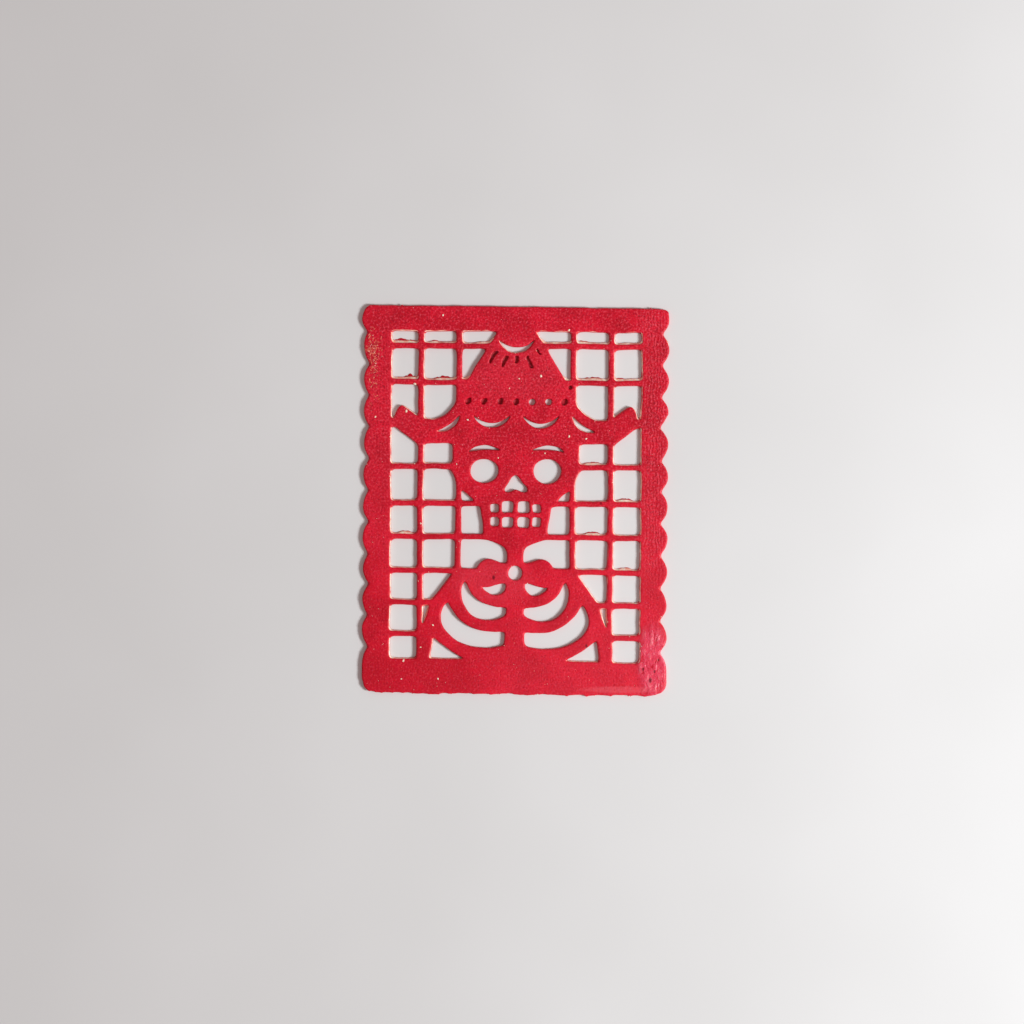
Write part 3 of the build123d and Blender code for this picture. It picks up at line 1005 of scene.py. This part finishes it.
def sugar_grains(tree, outlines):
    """The pale grains, and a dust of smaller ones over the whole face."""
    rng = np.random.default_rng(11)
    dust = rng.uniform((-HALF_WIDTH, -HALF_HEIGHT), (HALF_WIDTH, HALF_HEIGHT), (DUST, 2))
    dust = dust[on_material(dust, outlines)]
    widths = rng.uniform(0.09, 0.17, len(dust))
    spots = [(x, y, seated(x, y, width, 0.10), width) for x, y, width in GRAINS]
    spots += [(x, y, seated(x, y, width, 0.20), width) for (x, y), width in zip(dust, widths)]
    lumps("sugar_grains", tree, spots, cream_sugar(), Roughness=0.35, Flatness=0.5, Stretch=1.5, Seed=3)


# Patches of burst bubbles: middle, spread, how many.
BUBBLES = [((-31.3, 32.8), (0.8, 1.5), 60), ((-31.3, 28.0), (0.7, 1.5), 26), ((-31.4, 22.4), (0.6, 2.0), 14)]
CLEARANCE = 0.6         # how far a bubble's middle keeps from every edge


def blisters(rims, beads, outlines):
    """Rims of small burst bubbles in the patch near the head, a trail of them below it, and the wet
    beads between them."""
    rng = np.random.default_rng(23)
    wet = wet_lace()

    def bubbles(name, tree, share, widths, sunk, roughness):
        """What burst bubbles left in each patch: this share of its count, between the two widths,
        each sunk this share of its width into the face."""
        spots = []
        narrow, wide = widths
        for centre, spread, count in BUBBLES:
            count = round(count * share)
            places = rng.normal(centre, spread, (count, 2))
            sizes = narrow + (wide - narrow) * rng.random(count) ** 1.6
            clear = np.ones(count, bool)
            for side in ((-CLEARANCE, 0), (CLEARANCE, 0), (0, -CLEARANCE), (0, CLEARANCE)):
                clear &= on_material(places + np.array(side), outlines)
            for (x, y), width in zip(places[clear], sizes[clear]):
                level = min(face_level(x, y), THICKNESS - 0.06) - sunk * width
                spots.append((x, y, level, width))
        lumps(name, tree, spots, wet, Roughness=roughness, Flatness=0.55, Stretch=1.25, Seed=8)

    bubbles("lace_blisters", rims, 0.8, (0.40, 1.1), 0.07, 0.9)
    bubbles("lace_beads", beads, 1.0, (0.14, 0.32), 0.03, 0.4)


# Crumbs that stuck out on the head edge: x, y, height and width.
HEAD_CRUMBS = [(-24.9, 42.1, 0.6, 0.42), (-24.5, 42.0, 0.5, 0.30), (29.0, 41.9, 0.5, 0.34)]


def red_crumbs(tree, outline, lace):
    """Crumbs that cling to the rough edges along the head, the foot and the torn films."""
    rng = np.random.default_rng(31)
    spots = list(HEAD_CRUMBS)
    for x, y in outline:
        rough = 0.22 if y < -HALF_HEIGHT + 1.0 else 0.05 if y > HALF_HEIGHT - 0.6 else 0.0
        if rng.random() < rough * (0.5 + flow(x, y, 3.0, 8.8)):
            width = rng.uniform(0.16, 0.40)
            inwards = 0.10 if y < 0 else -0.10
            crumb_x = x + rng.uniform(-0.1, 0.1)
            crumb_y = y + inwards + rng.uniform(-0.08, 0.06)
            spots.append((crumb_x, crumb_y, rng.uniform(0.3, 0.85), width))
    for film_x, film_y, reach, widest in FILMS:
        if widest > 0.5:
            for x in film_x + reach * rng.uniform(-0.5, 0.5, 7):
                spots.append((x, film_y + rng.uniform(0.25, 0.45), 0.14, rng.uniform(0.12, 0.28)))
    lumps("lace_crumbs", tree, spots, lace, Roughness=0.5, Flatness=0.7, Stretch=1.3, Seed=5)


# ---------------------------------------------------------------- floor, light and camera

FLOOR_SIZE = 1.2        # metres
SENSOR_WIDTH = 36.0     # millimetres


def floor_sheet():
    parts = MeshParts()
    half = FLOOR_SIZE / 2 / MM
    parts.verts = [(-half, -half, 0), (half, -half, 0), (half, half, 0), (-half, half, 0)]
    parts.faces = [(0, 1, 2, 3)]
    floor = new_piece("floor", parts.mesh("floor"))
    floor.data.materials.append(pale_paper())


def soft_light(name, azimuth, elevation, distance, size, watts, colour):
    """A round softbox that faces the sheet from this direction."""
    light = bpy.data.lights.new(name, "AREA")
    light.shape = "DISK"
    light.size = size
    light.energy = watts
    light.color = colour
    lamp = bpy.data.objects.new(name, light)
    around, up = math.radians(azimuth), math.radians(elevation)
    towards = (math.cos(around) * math.cos(up), math.sin(around) * math.cos(up), math.sin(up))
    lamp.location = Vector(towards) * distance
    lamp.rotation_euler = (-lamp.location).to_track_quat("-Z", "Y").to_euler()
    bpy.context.scene.collection.objects.link(lamp)


def studio():
    """One soft light low on the right, and a dimmer, warmer room all round."""
    soft_light("key_light", -15, 38, 0.68, 0.19, 4.9, (0.97, 1.0, 1.0))
    world = bpy.data.worlds.new("soft_room")
    world.use_nodes = True
    room = world.node_tree.nodes["Background"].inputs
    room["Color"].default_value = (1.0, 0.82, 0.78, 1)
    room["Strength"].default_value = 0.38
    bpy.context.scene.world = world
    bpy.context.scene.view_settings.view_transform = "Standard"


def camera_above():
    """The camera looks straight down, with the sheet turned slightly in the frame."""
    distance = 0.62
    view_width = 0.2217
    data = bpy.data.cameras.new("camera")
    data.type = "PERSP"
    data.sensor_width = SENSOR_WIDTH
    data.lens = SENSOR_WIDTH * (distance - THICKNESS * MM) / view_width
    data.clip_start = 0.01
    data.clip_end = 5.0
    camera = bpy.data.objects.new("camera", data)
    turn = math.radians(0.45)
    off_x, off_y = -0.00076, -0.00238
    camera.location = (
        off_x * math.cos(turn) - off_y * math.sin(turn),
        off_x * math.sin(turn) + off_y * math.cos(turn),
        distance,
    )
    camera.rotation_euler = (0, 0, turn)
    bpy.context.scene.collection.objects.link(camera)
    bpy.context.scene.camera = camera


lace = red_lace()
sheet = new_piece("papel_picado_lace", moulded_sheet())
sheet.data.materials.append(lace)
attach(sheet, "root")
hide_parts("papel_picado_sheet")
outlines = cad_outlines(0.0) + cad_outlines(0.25)
tree = lump_tree("lumps_on_points")
sugar_grains(tree, outlines)
blisters(lump_tree("rims_on_points", is_rim=True), tree, outlines)
red_crumbs(tree, hand_made(evenly(max(outlines, key=signed_area), EDGE_STEP)), lace)
floor_sheet()
studio()
camera_above()
